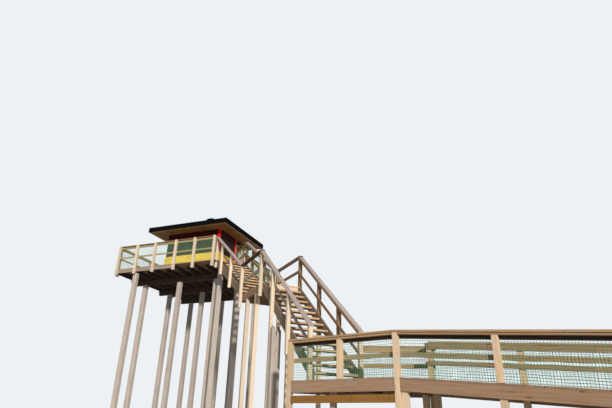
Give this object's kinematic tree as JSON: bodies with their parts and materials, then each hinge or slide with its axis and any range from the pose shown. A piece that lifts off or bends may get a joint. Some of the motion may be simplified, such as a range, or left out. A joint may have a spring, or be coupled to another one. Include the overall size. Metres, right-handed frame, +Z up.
{
  "type": "lifeguard tower",
  "caption": "Timber lifeguard hut with a hipped roof on a raised railed deck, reached by a ramped boardwalk and a stair in two flights with a landing.",
  "frame": {"origin": "middle of the foot of the deck's front right pile, on the ground", "axes": "+X runs right along the deck's front, +Y runs back under the hut, +Z up"},
  "size_m": [19.8081, 13.7507, 9.898],
  "materials": {
    "pale_timber": "sun-bleached sawn softwood",
    "grey_timber": "weathered grey-brown sawn timber",
    "tread_timber": "worn tan boards",
    "brown_timber": "brown weathered boards",
    "grey_green_paint": "grey-green paint on board",
    "yellow_paint": "gloss yellow paint on board",
    "red_paint": "red paint on timber",
    "brown_paint": "brown stained boards",
    "black_felt": "boards covered with dark roofing felt"
  },
  "bodies": {
    "root": {"front_wall": "grey_green_paint", "right_wall": "grey_green_paint", "back_wall": "grey_green_paint", "left_wall": "grey_green_paint", "window_shutters": "grey_green_paint", "corner_posts": "red_paint", "red_top_boards": "red_paint", "yellow_boards": "yellow_paint", "door": "red_paint", "door_frame": "pale_timber", "hut_floor": "brown_timber", "soffit": "brown_paint", "roof_fascia": "black_felt", "front_roof": "black_felt", "right_roof": "black_felt", "back_roof": "black_felt", "left_roof": "black_felt", "ridge_cap": "black_felt", "deck_boards": "grey_timber", "deck_edge_boards": "grey_timber", "deck_joists": "grey_timber", "wing_frame": "grey_timber", "deck_girders": "grey_timber", "deck_piles": "grey_timber", "front_railing": "pale_timber", "back_railing": "pale_timber", "side_railings": "pale_timber", "wing_railing": "pale_timber", "upper_railings": "pale_timber", "landing_railings": "pale_timber", "lower_railings": "pale_timber", "upper_stringers": "grey_timber", "lower_stringers": "grey_timber", "upper_treads": "tread_timber", "lower_treads": "tread_timber", "landing_boards": "tread_timber", "landing_frame": "grey_timber", "stair_legs": "pale_timber", "platform_boards": "brown_timber", "ramp_boards": "brown_timber", "boardwalk_edge_boards": "brown_timber", "boardwalk_joists": "brown_timber", "boardwalk_posts": "pale_timber", "platform_railings": "brown_timber", "ramp_railings": "brown_timber"}
  },
  "joints": []
}
